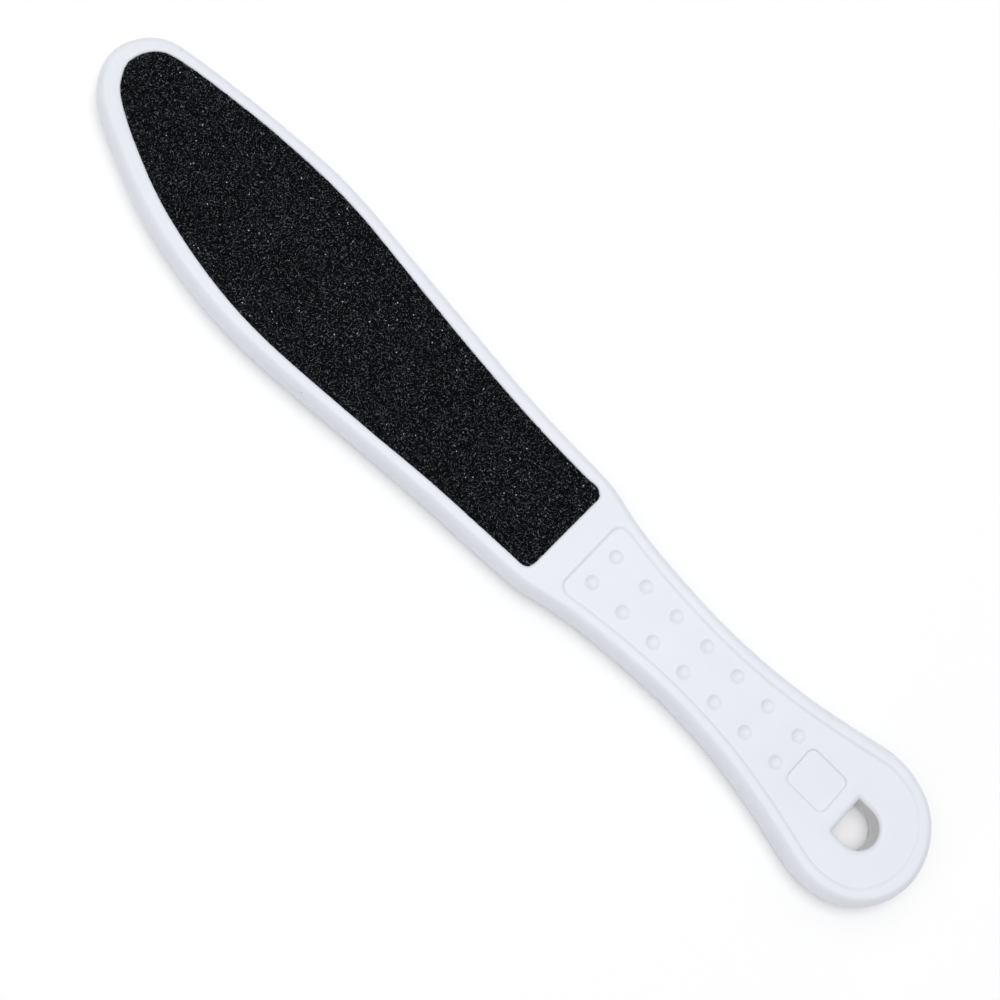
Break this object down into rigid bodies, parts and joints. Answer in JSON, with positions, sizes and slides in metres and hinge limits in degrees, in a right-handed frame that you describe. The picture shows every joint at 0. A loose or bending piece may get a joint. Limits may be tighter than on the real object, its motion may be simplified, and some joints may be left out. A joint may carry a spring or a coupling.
{
  "type": "foot file",
  "caption": "Two-sided foot file: a leaf-shaped moulded paddle with black abrasive sheets sunk in both faces, a waisted dimpled handle and a D-shaped hang hole.",
  "frame": {"origin": "under the middle of the whole paddle's box, on the plane of its back face", "axes": "+X along the handle from the blade's tip to the handle's end, +Y toward the blade's broad side, +Z out of the front face"},
  "size_m": [0.2628, 0.0452, 0.0088],
  "materials": {
    "paddle_plastic": "white injection-moulded plastic, satin gloss",
    "bonding_film": "clear-amber adhesive film",
    "backing_cloth": "resin-filled backing cloth",
    "coarse_grit": "coarse black silicon carbide in black resin",
    "fine_grit": "fine black silicon carbide in black resin"
  },
  "bodies": {
    "root": {"paddle_body": "paddle_plastic", "front_adhesive": "bonding_film", "front_backing": "backing_cloth", "front_grit": "coarse_grit", "back_adhesive": "bonding_film", "back_backing": "backing_cloth", "back_grit": "fine_grit"}
  },
  "joints": []
}
